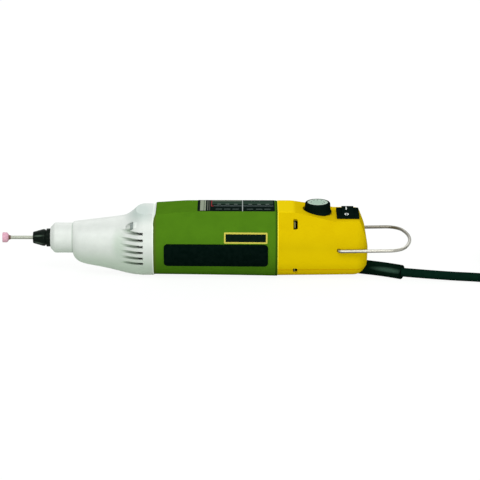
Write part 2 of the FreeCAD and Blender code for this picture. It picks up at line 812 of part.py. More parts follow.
def armature_winding():
    """The coils where they stand out at both ends of the core."""
    ends = []
    for x0, x1 in ((77.5, CORE_X[0]), (CORE_X[1], 114.5)):
        ends.append(turned([(x0, SHAFT_R, 0), (x0, 11.6, 2.5), (x1, 11.6, 0.5), (x1, SHAFT_R, 0)]))
    for i in range(CORE_SLOTS):
        bar = box(CORE_X[0] - 1, CORE_X[1] + 1, -1.3, 1.3, 8.2, 11.4)
        bar.rotate(V(0, 0, 0), V(1, 0, 0), 360 * i / CORE_SLOTS)
        ends.append(bar)
    return join(ends)


def commutator():
    ring = tube(117.0, 126.0, SHAFT_R, 6.0)
    for i in range(CORE_SLOTS):
        gap = box(116, 125.0, -0.2, 0.2, 5.2, 7)
        gap.rotate(V(0, 0, 0), V(1, 0, 0), 360 * (i + 0.5) / CORE_SLOTS)
        ring = ring.cut(gap)
    return ring


def motor_shaft():
    return rod(45.2, 138.0, SHAFT_R)


def motor_can():
    return tube(76.0, 116.0, 18.4, MOTOR_BORE_R - 0.05)


def magnets():
    """Two magnet shells on the upper and lower inside of the can."""
    ring = tube(80.0, 112.0, 14.3, 18.4)
    top = ring.common(box(70, 120, -13, 13, 5, 30))
    return Part.makeCompound([top, top.mirror(V(0, 0, 0), V(0, 0, 1))])


def motor_front_plate():
    plate = tube(73.0, 76.0, SHAFT_R + 0.4, MOTOR_BORE_R - 0.05)
    for i in range(6):
        opening = Part.makeCylinder(3.0, 10, V(70, 0, 12), V(1, 0, 0))
        opening.rotate(V(0, 0, 0), V(1, 0, 0), 60 * i + 30)
        plate = plate.cut(opening)
    return plate


def brush_holder():
    """Rear end shield of the motor: a cup with the bearing seat and two brush boxes."""
    cup = tube(116.0, 137.0, 17.6, MOTOR_BORE_R - 0.05)
    floor = tube(127.6, 130.0, SHAFT_R + 0.4, 18.0)
    seat = tube(129.0, 136.5, 9.5, 12.0)
    parts = [cup, floor, seat]
    for side in (1, -1):
        y0, y1 = sorted((side * 7.2, side * 18.0))
        parts.append(box(117.0, 126.0, y0, y1, -4.2, 4.2))
    holder = join(parts)
    for side in (1, -1):
        y0, y1 = sorted((side * 6.0, side * 17.4))
        holder = holder.cut(box(BRUSH_X[0] - 0.05, BRUSH_X[1] + 0.05, y0, y1, -2.55, 2.55))
    for i in range(4):
        opening = Part.makeCylinder(2.6, 10, V(124, 0, 14.8), V(1, 0, 0))
        opening.rotate(V(0, 0, 0), V(1, 0, 0), 90 * i + 45)
        holder = holder.cut(opening)
    return holder


def carbon_brushes():
    brush = box(BRUSH_X[0], BRUSH_X[1], 6.05, 12.5, -2.5, 2.5)
    return Part.makeCompound([brush, mirrored(brush)])


def brush_springs():
    spring = Part.makeCylinder(2.0, 4.8, V(121.5, 12.55, 0), V(0, 1, 0))
    return Part.makeCompound([spring, mirrored(spring)])


# Controls


def speed_dial():
    """Fluted knob with a flared skirt, a sunk top for its inlay and a bore for the shaft."""
    knob = turned_upright(
        [
            (0, DIAL_FOOT_Z, 0),
            (DIAL_SKIRT_R, DIAL_FOOT_Z, 0.3),
            (DIAL_R + 0.15, DIAL_FOOT_Z + 2.4, 2.0),
            (DIAL_R - 0.1, DIAL_TOP_Z, 1.1),
            (0, DIAL_TOP_Z, 0),
        ],
        DIAL_X,
    )
    for i in range(DIAL_FLUTES):
        flute = Part.makeCylinder(0.5, 30, V(DIAL_X + DIAL_R + 0.36, 0, DIAL_FOOT_Z + 2.2))
        flute.rotate(V(DIAL_X, 0, 0), V(0, 0, 1), 360 * i / DIAL_FLUTES)
        knob = knob.cut(flute)
    knob = knob.cut(Part.makeCylinder(INLAY_R + 0.05, 5, V(DIAL_X, 0, DIAL_TOP_Z - 0.6)))
    return knob.cut(Part.makeCylinder(3.05, DIAL_TOP_Z - 2.2 - 10, V(DIAL_X, 0, 10)))


def dial_inlay():
    return Part.makeCylinder(INLAY_R, 0.5, V(DIAL_X, 0, DIAL_TOP_Z - 0.6))


def dial_shaft():
    """Shaft of the speed control, from its case into the dial."""
    shaft = Part.makeCylinder(3.0, DIAL_TOP_Z - 2.5 - 5.5, V(DIAL_X, 0, 5.5))
    return shaft.cut(box(DIAL_X + 2.2, DIAL_X + 5, -5, 5, DIAL_FOOT_Z + 0.5, 30))


def speed_control():
    """Case of the speed control, standing on the board."""
    case = box(DIAL_X - 8, DIAL_X + 8, -8, 8, BOARD_TOP_Z, 8.5)
    neck = Part.makeCylinder(4.5, 3.5, V(DIAL_X, 0, 8.5))
    return join([case, neck]).cut(Part.makeCylinder(3.05, 20, V(DIAL_X, 0, 5.4)))


def switch_body():
    """Bezel, case and terminals of the rocker switch, with the well that the rocker tilts in."""
    half_l, half_w = BEZEL_LENGTH / 2, BEZEL_WIDTH / 2
    corners = [(SWITCH_X + sx * half_l, sy * half_w, 0.8) for sx, sy in ((-1, -1), (1, -1), (1, 1), (-1, 1))]
    bezel = level_plate(corners, SWITCH_TOP_Z, SWITCH_TOP_Z + BEZEL_HEIGHT)
    hx, hy = SWITCH_BODY[0] / 2, SWITCH_BODY[1] / 2
    case = box(SWITCH_X - hx, SWITCH_X + hx, -hy, hy, 4.0, SWITCH_TOP_Z + 0.2)
    parts = [bezel, case]
    for y in (-5.0, 0.0, 5.0):
        parts.append(box(SWITCH_X - 2.4, SWITCH_X + 2.4, y - 0.4, y + 0.4, -2.5, 4.1))
    body = join(parts)
    well_x, well_y = ROCKER_LENGTH / 2 + 0.15, ROCKER_HALF + 1.0
    body = body.cut(box(SWITCH_X - well_x, SWITCH_X + well_x, -well_y, well_y, 8.5, 30))
    return body.cut(rod(SWITCH_X - 5.4, SWITCH_X + 5.4, ROCKER_PIN_R + 0.04, z=ROCKER_PIVOT_Z))


def rocker():
    """Rocker in the off position: the near half level with the bezel, the far half raised."""
    z0 = SWITCH_TOP_Z + BEZEL_HEIGHT
    x0, x1 = SWITCH_X - ROCKER_LENGTH / 2, SWITCH_X + ROCKER_LENGTH / 2
    corners = [
        (-ROCKER_HALF, z0 - 0.2, 0.3),
        (0.2, z0 + 0.35, 3.0),
        (ROCKER_HALF - 0.3, z0 + 2.2, 0.5),
        (ROCKER_HALF, z0 - 1.6, 0.3),
        (2.5, ROCKER_PIVOT_Z - 2.6, 1.2),
        (-2.5, ROCKER_PIVOT_Z - 2.6, 1.2),
        (-ROCKER_HALF + 0.6, z0 - 3.2, 0.3),
    ]
    pins = rod(x0 - 1.1, x1 + 1.1, ROCKER_PIN_R, z=ROCKER_PIVOT_Z)
    return join([cross_plate(corners, x0, x1), pins])


# Board and cord fittings inside the cap


def control_board():
    board = box(BOARD_X[0], BOARD_X[1], -16.5, 16.5, BOARD_TOP_Z - 1.6, BOARD_TOP_Z)
    for x in (BOARD_X[0] + 3, BOARD_X[1] - 3):
        for y in (-13.5, 13.5):
            board = board.cut(Part.makeCylinder(1.6, 6, V(x, y, BOARD_TOP_Z - 4)))
    return board


def board_parts():
    """Filter capacitor, choke, power switch with its heat sink, and a row of resistors."""
    low = BOARD_TOP_Z - 1.6
    capacitor = box(149.0, 158.0, -14, -4, low - 12.0, low)
    choke = Part.makeCylinder(5.0, 9.0, V(155.0, 7.0, low - 9.0))
    sink = join(
        [box(162.5, 164.0, -13, 13, low - 11, low)]
        + [box(162.5, 168.5, y, y + 1.2, low - 11, low - 1) for y in (-13, -6.9, -0.6, 5.7, 11.8)]
    )
    resistors = [Part.makeCylinder(1.2, 7.0, V(171.5, y, low - 1.25), V(1, 0, 0)) for y in (-9, -5, 5, 9)]
    return Part.makeCompound([capacitor, choke, sink] + resistors)


def strain_relief():
    """Rubber sleeve round the cord: a neck through the wall with a collar inside it."""
    a = math.radians(RELIEF_ANGLE)
    collar = Part.makeCylinder(5.2, 2.0, RELIEF_ROOT, V(math.cos(a), -math.sin(a), 0))
    collar = collar.cut(box(180, 205, -20, 20, -40, -21.9))
    sleeve = join(
        [pipe(relief_path(RELIEF_NECK), RELIEF_R), pipe(relief_path(), RELIEF_NECK_R), collar]
    )
    return sleeve.cut(pipe(relief_path(-2), RELIEF_BORE_R))


def inner_lead():
    """The cord inside the relief and the cap, up to its clamp."""
    return pipe(relief_path(-14), CORD_R)


def cord_clamp():
    """Saddle over the cord inside the cap."""
    saddle = box(CLAMP_X[0], CLAMP_X[1], -9.0, 9.0, CLAMP_SPLIT_Z, CLAMP_SPLIT_Z + 5.0)
    saddle = saddle.cut(pipe(relief_path(-20), CORD_R + 0.05))
    for y in CLAMP_SCREWS_Y:
        saddle = saddle.cut(Part.makeCylinder(1.3, 10, V(sum(CLAMP_X) / 2, y, -22)))
    return saddle


def clamp_screws():
    screws = []
    for y in CLAMP_SCREWS_Y:
        shank = Part.makeCylinder(1.2, 7.6, V(sum(CLAMP_X) / 2, y, -21.3))
        head = Part.makeCylinder(2.3, 1.6, V(sum(CLAMP_X) / 2, y, CLAMP_SPLIT_Z + 5.02))
        screws.append(join([shank, head]))
    return Part.makeCompound(screws)


def head_screws():
    """Pan-head screws that hold the head to the motor housing."""
    screws = []
    for y, z in (around_body(HEAD_SCREW_R, a) for a in HEAD_SCREW_ANGLES):
        head = turned([(0, 0, 0), (-2.0, 0, 0), (-2.0, 2.3, 0.7), (0, 2.6, 0)])
        cross = box(-3, -1.2, -1.5, 1.5, -0.3, 0.3).fuse(box(-3, -1.2, -0.3, 0.3, -1.5, 1.5))
        screw = join([head.cut(cross), rod(-0.5, 22.0, 1.55)])
        screw.translate(V(HEAD_SCREW_SEAT_X, y, z))
        screws.append(screw)
    return Part.makeCompound(screws)


# Bail


def wire_bail():
    """Spring-wire bail: two legs along the cap, an oval end, and ends turned in through the cap."""
    x0, xa, r = BAIL_STRAIGHT_X, BAIL_END_X, BAIL_CORNER_R
    depth = xa - x0
    end_r = (depth**2 + (BAIL_HALF - r) ** 2 - r**2) / (2 * (depth - r))
    turn = math.atan2(BAIL_HALF - r, x0 - (xa - end_r))
    inner_y = 20.6

    def corner(side, a):
        return V(x0 + r * math.sin(a), side * (BAIL_HALF - r + r * math.cos(a)), BAIL_Z)

    def bend(side, a):
        b = BAIL_BEND_R
        return V(BAIL_X + b - b * math.sin(a), side * (BAIL_HALF - b + b * math.cos(a)), BAIL_Z)

    meet = math.pi / 2 - turn
    edges = []
    edges.append(Part.makeLine(V(BAIL_X, -inner_y, BAIL_Z), bend(-1, math.pi / 2)))
    edges.append(Part.Arc(bend(-1, math.pi / 2), bend(-1, math.pi / 4), bend(-1, 0)).toShape())
    edges.append(Part.makeLine(bend(-1, 0), corner(-1, 0)))
    edges.append(Part.Arc(corner(-1, 0), corner(-1, meet / 2), corner(-1, meet)).toShape())
    edges.append(Part.Arc(corner(-1, meet), V(xa, 0, BAIL_Z), corner(1, meet)).toShape())
    edges.append(Part.Arc(corner(1, meet), corner(1, meet / 2), corner(1, 0)).toShape())
    edges.append(Part.makeLine(corner(1, 0), bend(1, 0)))
    edges.append(Part.Arc(bend(1, 0), bend(1, math.pi / 4), bend(1, math.pi / 2)).toShape())
    edges.append(Part.makeLine(bend(1, math.pi / 2), V(BAIL_X, inner_y, BAIL_Z)))
    wire = pipe(Part.Wire(edges), WIRE_R)
    wire.rotate(V(BAIL_X, 0, BAIL_Z), V(0, -1, 0), BAIL_REST_LIFT)
    return wire


# Cord, coil, tie and plug


def rounded_path(points):
    """Straight runs joined by tangent arcs as large as the shorter run beside them allows."""
    points = [V(*p) for p in points]
    edges, at = [], points[0]
    for before, corner, after in zip(points, points[1:], points[2:]):
        back, ahead = before - corner, after - corner
        shorter = min(back.Length, ahead.Length)
        back.normalize()
        ahead.normalize()
        turn = math.pi - back.getAngle(ahead)
        reach = 0.45 * shorter
        radius = reach / math.tan(turn / 2)
        print("cord arc radius", round(radius, 1), "turn", round(math.degrees(turn), 1))
        start, end = corner + back * reach, corner + ahead * reach
        inward = back + ahead
        inward.normalize()
        middle = corner + inward * (radius / math.cos(turn / 2) - radius)
        edges.append(Part.makeLine(at, start))
        edges.append(Part.Arc(start, middle, end).toShape())
        at = end
    edges.append(Part.makeLine(at, points[-1]))
    return Part.Wire(edges)


def cord_lead(route):
    """The free cord, ending on the face of the relief's mouth."""
    mouth = relief_mouth()
    ahead = V(*CORD_ROUTE[0]) - mouth
    ahead.normalize()
    root = Part.makeCylinder(CORD_R, 2.0, mouth - ahead * 1.9, ahead)
    inside = Part.makeBox(10, 20, 20, V(-10, -10, -10))
    inside.rotate(V(0, 0, 0), V(0, 0, 1), -RELIEF_END_ANGLE)
    inside.translate(mouth)
    return pipe(route, CORD_R).fuse(root).cut(inside)


def coil_half_turns():
    """Each half turn of the coil: distance from its middle line at the start and the end, and height
    there. Half turns run by turns round the far and the near side of that line."""
    half = COIL_PITCH / 2
    inward = [COIL_OUTER - half * k for k in range(COIL_TURNS_IN + 1)]
    inner = inward[-1] - 0.85 * half
    outward = [inward[-2] + 0.6 + half * k for k in range(COIL_TURNS_IN - 1)]
    outer = outward[-1] + 0.85 * half
    reach = inward + [inner] + outward + [outer] + inward[2:] + [inner] + outward[:2]
    layers = [len(inward), len(outward) + 1, len(inward) - 1, 3]
    level = [layer * COIL_PITCH for layer, count in enumerate(layers) for _ in range(count)]
    return reach, level


def coil_path():
    """Spiral in, out, in and out again, each a layer higher, then a straight and a last half turn
    over the top to the plug."""
    reach, level = coil_half_turns()
    ends = [(-r if k % 2 == 0 else r, h) for k, (r, h) in enumerate(zip(reach, level))]
    edges = [Part.makeLine(V(*CORD_ROUTE[-1]), COIL_CENTRE + V(0, -COIL_OUTER, 0))]
    for k, ((y0, h0), (y1, h1)) in enumerate(zip(ends, ends[1:])):
        side = 1 if k % 2 == 0 else -1
        edges.append(coil_arc(V(0, y0, h0), V(0, y1, h1), side))
    top = V(0, *ends[-1])
    shifted = top + V(PLUG_SHIFT, 0, 0)
    edges.append(Part.makeLine(COIL_CENTRE + top, COIL_CENTRE + shifted))
    edges.append(coil_arc(shifted, V(PLUG_SHIFT, PLUG_Y, PLUG_RISE), 1))
    return Part.Wire(edges)


def coil_arc(start, end, side):
    """Half turn between two points of the coil's middle plane, bulging to one side of it."""
    middle = (start + end) * 0.5 + V(side * start.distanceToPoint(end) / 2, 0, 0)
    return Part.Arc(COIL_CENTRE + start, COIL_CENTRE + middle, COIL_CENTRE + end).toShape()


def print_least_gap(path):
    """The least distance between the surfaces of turns of one tube, measured on points along it."""
    points = path.discretize(Distance=2.0)
    skip = int(30 / 2.0)
    least = min(
        p.distanceToPoint(q) for i, p in enumerate(points) for q in points[i + skip :]
    )
    print("coil's least gap to itself", round(least - 2 * CORD_R, 2))


def coil_tie():
    """Flat strap round the coil's turns on the side of the tool."""
    x0, x1 = COIL_CENTRE.x - 42.3, COIL_CENTRE.x - 20.4
    z0, z1 = COIL_Z - CORD_R - 0.1, COIL_Z + 3 * COIL_PITCH + CORD_R + 0.5
    t = TIE_THICKNESS
    y0, y1 = COIL_CENTRE.y - 4.0, COIL_CENTRE.y + 4.0

    def band(grow, ys):
        corners = [(x0, z0), (x1, z0), (x1, z1), (x0, z1)]
        grown = [
            (x + (grow if x == x1 else -grow), z + (grow if z == z1 else -grow), 2.6 + grow)
            for x, z in corners
        ]
        return side_plate(grown, *ys)

    return band(t - 0.02, (y0, y1)).cut(band(0, (y0 - 1, y1 + 1)))


def plug_frame():
    """Middle of the plug's cord end."""
    return COIL_CENTRE + V(PLUG_SHIFT, PLUG_Y, PLUG_RISE)


def plug_body():
    """Flat two-pin plug: shoulders at the pin end, narrowing to a ribbed grip at the cord."""
    o = plug_frame()
    corners = [
        (o.x, o.y - 4.6, 1.0),
        (o.x - 9.0, o.y - 5.6, 5.0),
        (o.x - 16.0, o.y - 13.0, 8.0),
        (o.x - PLUG_LENGTH, o.y - 17.2, 2.0),
        (o.x - PLUG_LENGTH, o.y + 17.2, 2.0),
        (o.x - 16.0, o.y + 13.0, 8.0),
        (o.x - 9.0, o.y + 5.6, 5.0),
        (o.x, o.y + 4.6, 1.0),
    ]
    body = level_plate(corners, o.z - PLUG_HALF_THICK, o.z + PLUG_HALF_THICK)
    side = side_plate(
        [
            (o.x, o.z - 4.2, 0),
            (o.x, o.z + 4.2, 0),
            (o.x - 14.0, o.z + PLUG_HALF_THICK, 10.0),
            (o.x - PLUG_LENGTH, o.z + PLUG_HALF_THICK, 0),
            (o.x - PLUG_LENGTH, o.z - PLUG_HALF_THICK, 0),
            (o.x - 14.0, o.z - PLUG_HALF_THICK, 10.0),
        ],
        o.y - 30,
        o.y + 30,
    )
    return body.common(side)


def plug_pins():
    o = plug_frame()
    x = o.x - PLUG_LENGTH
    pins = []
    for side in (-1, 1):
        y = o.y + side * PIN_SPACING / 2
        pin = Part.makeCylinder(PIN_R, 19.0, V(x, y, o.z), V(-1, 0, 0))
        tip = [e for e in pin.Edges if abs(e.BoundBox.XMax - (x - 19.0)) < 1e-6]
        pins.append(pin.makeFillet(1.2, tip))
    return Part.makeCompound(pins)


def data_label():
    corners = [
        (x, y, 0.8)
        for x, y in (
            (LABEL_X[0], -LABEL_TOP_HALF + 0.6),
            (LABEL_X[1], -LABEL_TOP_HALF + 0.6),
            (LABEL_X[1], LABEL_TOP_HALF - 0.6),
            (LABEL_X[0], LABEL_TOP_HALF - 0.6),
        )
    ]
    return level_plate(corners, LABEL_TOP_Z, LABEL_TOP_Z + 0.2)


def save(name, shape):
    solids = shape.Solids
    good = all(s.isValid() and s.isClosed() and s.Volume > 0 for s in solids)
    b = shape.BoundBox
    print(
        f"{name:20s} solids {len(solids):2d} ok {good} volume {sum(s.Volume for s in solids):10.2f}"
        f" x {b.XMin:7.1f} {b.XMax:7.1f} y {b.YMin:6.1f} {b.YMax:6.1f} z {b.ZMin:6.1f} {b.ZMax:6.1f}"
    )
    shape.exportStep(f"parts/{name}.step")


def main():
    os.makedirs("parts", exist_ok=True)
    save("head_casting", head_casting())
    save("head_screws", head_screws())
    save("motor_housing", motor_housing())
    pad = grip_pad()
    save("grip_pad_near", pad)
    save("grip_pad_far", mirrored(pad))
    save("side_plate", side_patch(PLATE_X, PLATE_Z, 0.6, -0.15, 0.25))
    save("data_label", data_label())
    save("rear_cap", rear_cap())
    save("collet_nut", collet_nut())
    save("collet", collet())
    save("spindle", spindle())
    save("grinding_stone", mounted_stone())
    save("stone_cement", stone_cement())
    save("stone_shank", stone_shank())
    for name, xs, seat_r, journal_r in (
        ("front_bearing", FRONT_BEARING_X, FRONT_BEARING_R, SPINDLE_R),
        ("rear_bearing", REAR_BEARING_X, REAR_BEARING_R, SPINDLE_R),
        ("motor_bearing", MOTOR_BEARING_X, 9.5, SHAFT_R),
    ):
        save(name + "_outer", bearing_outer(xs, seat_r, journal_r))
        save(name + "_inner", bearing_inner(xs, seat_r, journal_r))
        save(name + "_balls", bearing_balls(xs, seat_r, journal_r))
    save("bearing_spacer", tube(-1.0, 24.0, 6.6, FRONT_BEARING_R - 0.05))
    save("shaft_coupling", coupling())
    save("fan", fan())
    save("motor_shaft", motor_shaft())
    save("armature_core", armature_core())
    save("armature_winding", armature_winding())
    save("commutator", commutator())
    save("motor_can", motor_can())
    save("field_magnets", magnets())
    save("motor_front_plate", motor_front_plate())
    save("brush_holder", brush_holder())
    save("carbon_brushes", carbon_brushes())
    save("brush_springs", brush_springs())
    save("speed_dial", speed_dial())
    save("dial_inlay", dial_inlay())
    save("dial_shaft", dial_shaft())
    save("speed_control", speed_control())
    save("switch_body", switch_body())
    save("switch_rocker", rocker())
    save("control_board", control_board())
    save("board_parts", board_parts())
    save("strain_relief", strain_relief())
    save("inner_lead", inner_lead())
    save("cord_clamp", cord_clamp())
    save("clamp_screws", clamp_screws())
    save("wire_bail", wire_bail())
    route = rounded_path([relief_mouth()] + CORD_ROUTE)
    lead = cord_lead(route)
    print("cord lead volume over section times length", lead.Volume / (math.pi * CORD_R**2 * route.Length))
    save("cord_lead", lead)
    coil = coil_path()
    print_least_gap(coil)
    print("cord length", round(route.Length + coil.Length, 1))
    turns = pipe(coil, CORD_R)
    print("coil volume over section times length", turns.Volume / (math.pi * CORD_R**2 * coil.Length))
    save("cord_coil", turns)
    save("coil_tie", coil_tie())
    save("plug_body", plug_body())
    save("plug_pins", plug_pins())


main()
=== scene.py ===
import math

import bmesh
import bpy
from mathutils import Matrix, Vector


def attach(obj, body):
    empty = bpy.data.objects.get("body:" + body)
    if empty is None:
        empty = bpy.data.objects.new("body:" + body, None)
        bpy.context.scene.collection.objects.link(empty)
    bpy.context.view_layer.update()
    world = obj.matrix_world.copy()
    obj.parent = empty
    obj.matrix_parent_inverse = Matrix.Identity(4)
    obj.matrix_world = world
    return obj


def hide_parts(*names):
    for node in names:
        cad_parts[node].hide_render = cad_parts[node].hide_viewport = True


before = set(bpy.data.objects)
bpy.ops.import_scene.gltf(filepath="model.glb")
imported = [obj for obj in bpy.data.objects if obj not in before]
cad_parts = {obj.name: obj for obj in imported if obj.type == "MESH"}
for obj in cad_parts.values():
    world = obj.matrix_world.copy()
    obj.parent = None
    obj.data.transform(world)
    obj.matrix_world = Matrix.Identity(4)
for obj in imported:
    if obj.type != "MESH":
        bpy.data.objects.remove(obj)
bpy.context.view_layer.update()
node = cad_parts

# Places and sizes on the tool are in millimetres on the frame's axes: X runs along the spindle
# towards the cord, Z is up, and the near side is at -Y. The camera and the studio are in metres.

MM = 0.001
FOOT_Z = -23.6


# Camera: straight at the tool's near side, from 18 degrees above, through a long lens

VIEW_ELEVATION = math.radians(18)
VIEW_ROLL = math.radians(0.2)
VIEW_DISTANCE = 1.6
VIEW_CENTRE = Vector((0.1166, 0, -0.0013))
FRAME_WIDTH = 0.3192
SENSOR_WIDTH = 36


def set_camera():
    back = Vector((0, -math.cos(VIEW_ELEVATION), math.sin(VIEW_ELEVATION)))
    data = bpy.data.cameras.new("camera")
    data.sensor_width = SENSOR_WIDTH
    data.lens = SENSOR_WIDTH * VIEW_DISTANCE / FRAME_WIDTH
    data.clip_start = 0.05
    data.clip_end = 20
    camera = bpy.data.objects.new("camera", data)
    bpy.context.scene.collection.objects.link(camera)
    camera.location = VIEW_CENTRE + back * VIEW_DISTANCE
    camera.rotation_mode = "QUATERNION"
    turn = (-back).to_track_quat("-Z", "Y")
    camera.rotation_quaternion = turn @ Matrix.Rotation(VIEW_ROLL, 4, "Z").to_quaternion()
    bpy.context.scene.camera = camera


set_camera()


# Mains cord: the run on the table, then the tied coil that ends at the plug

CORD_R = 2.95
TIE_THICKNESS = 0.7
TIE_CLEARANCE = 0.1
COIL_Z = FOOT_Z + CORD_R + TIE_THICKNESS + TIE_CLEARANCE
COIL_CENTRE = Vector((322.5, 16.9, COIL_Z))
COIL_PITCH = 6.5
COIL_OUTER = 42.0
COIL_TURNS_IN = 5
LAYER_STEP = 0.85
OUTWARD_SHIFT = 0.6
ENDS_ON_TOP = 3
PLUG_SHIFT = 17.0
PLUG_Y = 15.0
PLUG_RISE = 29.35
RELIEF_MOUTH = (223.5713, -13.5738, -18.85)
CORD_ROUTE = [
    RELIEF_MOUTH,
    (234.5, -16.1, -18.95),
    (246.0, -16.6, -19.65),
    (258.5, -17.3, -20.3),
    (272.0, -18.2, -20.6),
    (285.0, -21.6, -20.5),
    (297.0, -25.1, COIL_Z),
    (308.5, -25.1, COIL_Z),
]
POINTS_PER_HALF_TURN = 8


def coil_ends():
    """Where the coil's half turns meet, as Y and Z from its centre: in, out, in and out again, each
    a layer higher. The cord climbs to the next layer over most of half a pitch."""
    half = COIL_PITCH / 2
    inward = [COIL_OUTER - half * k for k in range(COIL_TURNS_IN + 1)]
    inner = inward[-1] - LAYER_STEP * half
    outward = [inward[-2] + OUTWARD_SHIFT + half * k for k in range(COIL_TURNS_IN - 1)]
    outer = outward[-1] + LAYER_STEP * half
    reach = inward + [inner] + outward + [outer] + inward[2:] + [inner] + outward[:2]
    layers = [len(inward), len(outward) + 1, len(inward) - 1, ENDS_ON_TOP]
    level = [layer * COIL_PITCH for layer, count in enumerate(layers) for _ in range(count)]
    return [(-r if k % 2 == 0 else r, z) for k, (r, z) in enumerate(zip(reach, level))]


def half_turn(start, end, side):
    """Control points of a half turn between two points, bulging to one side in X."""
    step = math.pi / POINTS_PER_HALF_TURN
    outset = 1 / math.cos(step / 2)
    middle = (start + end) / 2
    out = start - middle
    across = Vector((side * (end - start).length / 2, 0, 0))
    angles = [step * (i + 0.5) for i in range(POINTS_PER_HALF_TURN)]
    return [middle + (out * math.cos(a) + across * math.sin(a)) * outset for a in angles]


def coil_points():
    """Control points of the coil, its last straight and the half turn over the top to the plug."""
    ends = [Vector((0, y, z)) for y, z in coil_ends()]
    points = []
    for k, (start, end) in enumerate(zip(ends, ends[1:])):
        points += half_turn(start, end, 1 if k % 2 == 0 else -1)
    shift = Vector((PLUG_SHIFT, 0, 0))
    plug = Vector((PLUG_SHIFT, PLUG_Y, PLUG_RISE))
    points += [ends[-1] + shift / 2] + half_turn(ends[-1] + shift, plug, 1) + [plug]
    return [COIL_CENTRE + p for p in points]


def lay_cord():
    """One smooth curve. Its bevel is 1 and its points have the cord's radius, for a true box."""
    curve = bpy.data.curves.new("mains_cord", "CURVE")
    curve.dimensions = "3D"
    curve.bevel_depth = 1.0
    curve.bevel_resolution = 6
    curve.resolution_u = 6
    curve.use_fill_caps = True
    points = [Vector(p) for p in CORD_ROUTE] + coil_points()
    spline = curve.splines.new("NURBS")
    spline.points.add(len(points) - 1)
    for place, p in zip(spline.points, points):
        place.co = (p.x * MM, p.y * MM, p.z * MM, 1)
        place.radius = CORD_R * MM
    spline.order_u = 3
    spline.use_endpoint_u = True
    cord = bpy.data.objects.new("mains_cord", curve)
    bpy.context.scene.collection.objects.link(cord)
    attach(cord, "housing")
    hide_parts("cord_lead", "cord_coil")
    return cord


cord = lay_cord()


# How a finish is built up. Colours are written as they look in even light, 0 to 255


def seen(red, green, blue):
    def linear(v):
        v /= 255
        return v / 12.92 if v <= 0.04045 else ((v + 0.055) / 1.055) ** 2.4

    return (linear(red), linear(green), linear(blue), 1)


def finish(name, colour, rough, metal=0.0, specular=0.5):
    """A new material. specular is 0.5 on a clean hard face and lower on a matt or dusty one."""
    material = bpy.data.materials.new(name)
    material.use_nodes = True
    shader = material.node_tree.nodes["Principled BSDF"]
    shader.inputs["Base Color"].default_value = colour
    shader.inputs["Roughness"].default_value = rough
    shader.inputs["Metallic"].default_value = metal
    shader.inputs["Specular IOR Level"].default_value = specular
    return material


def noise(material, size, detail=2.0):
    """A noise on the piece's own coordinates, with patches about that many millimetres across."""
    nodes, links = material.node_tree.nodes, material.node_tree.links
    where = nodes.new("ShaderNodeTexCoord")
    patches = nodes.new("ShaderNodeTexNoise")
    patches.inputs["Scale"].default_value = 1 / (size * MM)
    patches.inputs["Detail"].default_value = detail
    links.new(where.outputs["Object"], patches.inputs["Vector"])
    return patches.outputs["Fac"]


def along(material, axis):
    """Place along one axis of the piece, in metres."""
    nodes, links = material.node_tree.nodes, material.node_tree.links
    where = nodes.new("ShaderNodeTexCoord")
    split = nodes.new("ShaderNodeSeparateXYZ")
    links.new(where.outputs["Object"], split.inputs["Vector"])
    return split.outputs[axis]


def between(material, value, low, high):
    """The value spread from low and high to 0 and 1."""
    spread = material.node_tree.nodes.new("ShaderNodeMapRange")
    spread.inputs["From Min"].default_value = low
    spread.inputs["From Max"].default_value = high
    material.node_tree.links.new(value, spread.inputs["Value"])
    return spread.outputs["Result"]


def over(material, colour, where):
    """Lays a colour over the one that is there, where the mask is 1."""
    nodes, links = material.node_tree.nodes, material.node_tree.links
    base = nodes["Principled BSDF"].inputs["Base Color"]
    mix = nodes.new("ShaderNodeMix")
    mix.data_type = "RGBA"
    if base.links:
        links.new(base.links[0].from_socket, mix.inputs["A"])
    else:
        mix.inputs["A"].default_value = base.default_value
    mix.inputs["B"].default_value = colour
    links.new(where, mix.inputs["Factor"])
    links.new(mix.outputs["Result"], base)


def grain(material, size, depth):
    """Raises the surface by a fine noise, both in millimetres, over what raises it already."""
    nodes, links = material.node_tree.nodes, material.node_tree.links
    bump = nodes.new("ShaderNodeBump")
    bump.inputs["Distance"].default_value = depth * MM
    links.new(noise(material, size), bump.inputs["Height"])
    under = nodes["Principled BSDF"].inputs["Normal"]
    if under.links:
        links.new(under.links[0].from_socket, bump.inputs["Normal"])
    links.new(bump.outputs["Normal"], under)
    return material


def mottled(material, other, patch):
    """Soft patches of a second colour, about that many millimetres across."""
    patches = noise(material, patch, detail=3.0)
    over(material, other, between(material, patches, low=0.35, high=0.65))
    return material


def two_tone(name, colour, other, rough, patch, specular=0.5):
    """A bare or printed face in two close colours."""
    return mottled(finish(name, colour, rough, specular=specular), other, patch)


def cast_paint(name, colour, other, flake):
    """Matt silver paint on a casting: fine flake in the colour and a slight orange peel."""
    material = mottled(finish(name, colour, rough=0.5, metal=0.1, specular=0.2), other, patch=6.0)
    over(material, flake, between(material, noise(material, size=0.18), low=0.58, high=0.72))
    return grain(grain(material, size=1.2, depth=0.012), size=0.2, depth=0.006)


def moulded(name, colour, other):
    """Moulded plastic with a fine spark-eroded face."""
    material = two_tone(name, colour, other, rough=0.5, patch=9.0, specular=0.0)
    return grain(grain(material, size=0.3, depth=0.006), size=1.6, depth=0.01)


def rubber(name, colour, other):
    """Dull rubber with a sandy face."""
    material = two_tone(name, colour, other, rough=0.6, patch=2.5, specular=0.0)
    return grain(material, size=0.22, depth=0.012)


def pressed_film(name, colour, other):
    """Printed film with a faint weave of its own."""
    material = two_tone(name, colour, other, rough=0.45, patch=1.5, specular=0.0)
    return grain(material, size=0.15, depth=0.002)


